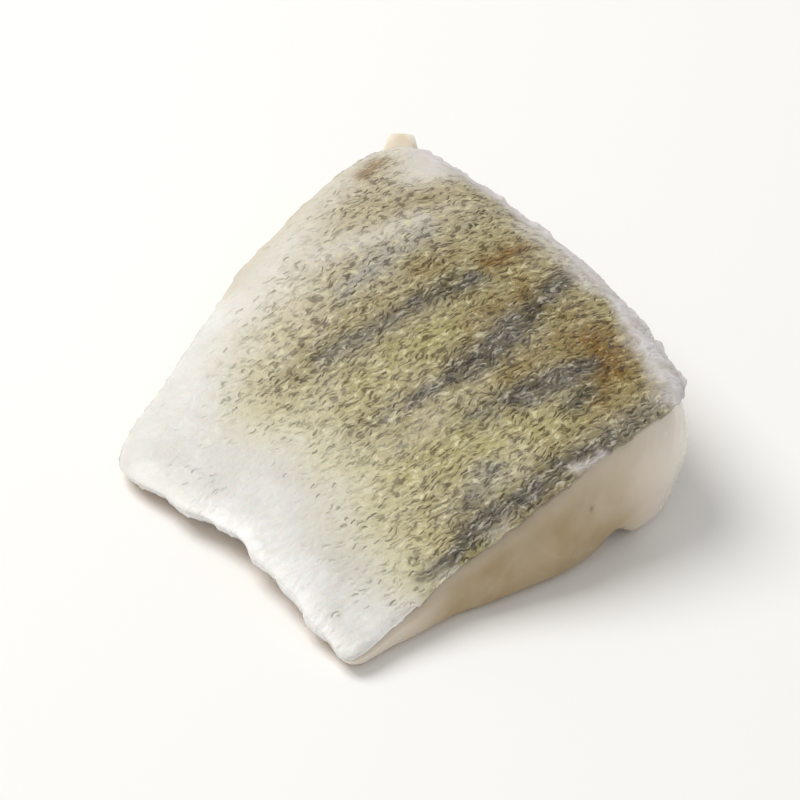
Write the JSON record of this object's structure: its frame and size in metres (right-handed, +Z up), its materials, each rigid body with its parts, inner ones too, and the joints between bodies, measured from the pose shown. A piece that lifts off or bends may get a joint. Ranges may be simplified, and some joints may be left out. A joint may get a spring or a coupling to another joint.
{
  "type": "perch fillet",
  "caption": "Skin-on perch fillet portion: a wedge of pale flesh under green-grey striped skin, cut square across the fish and lying skin side up.",
  "frame": {"origin": "centre of the bounding box, at the level of the flat underside that the fillet rests on", "axes": "+X along the fish towards the near cut, +Y across it from the belly edge to the dorsal edge, +Z up through the skin"},
  "size_m": [0.0846, 0.0768, 0.0213],
  "materials": {
    "flesh": "moist, ice glazed",
    "skin": "ice glazed, striped"
  },
  "bodies": {
    "root": {"flesh": "flesh", "skin": "skin"}
  },
  "joints": []
}
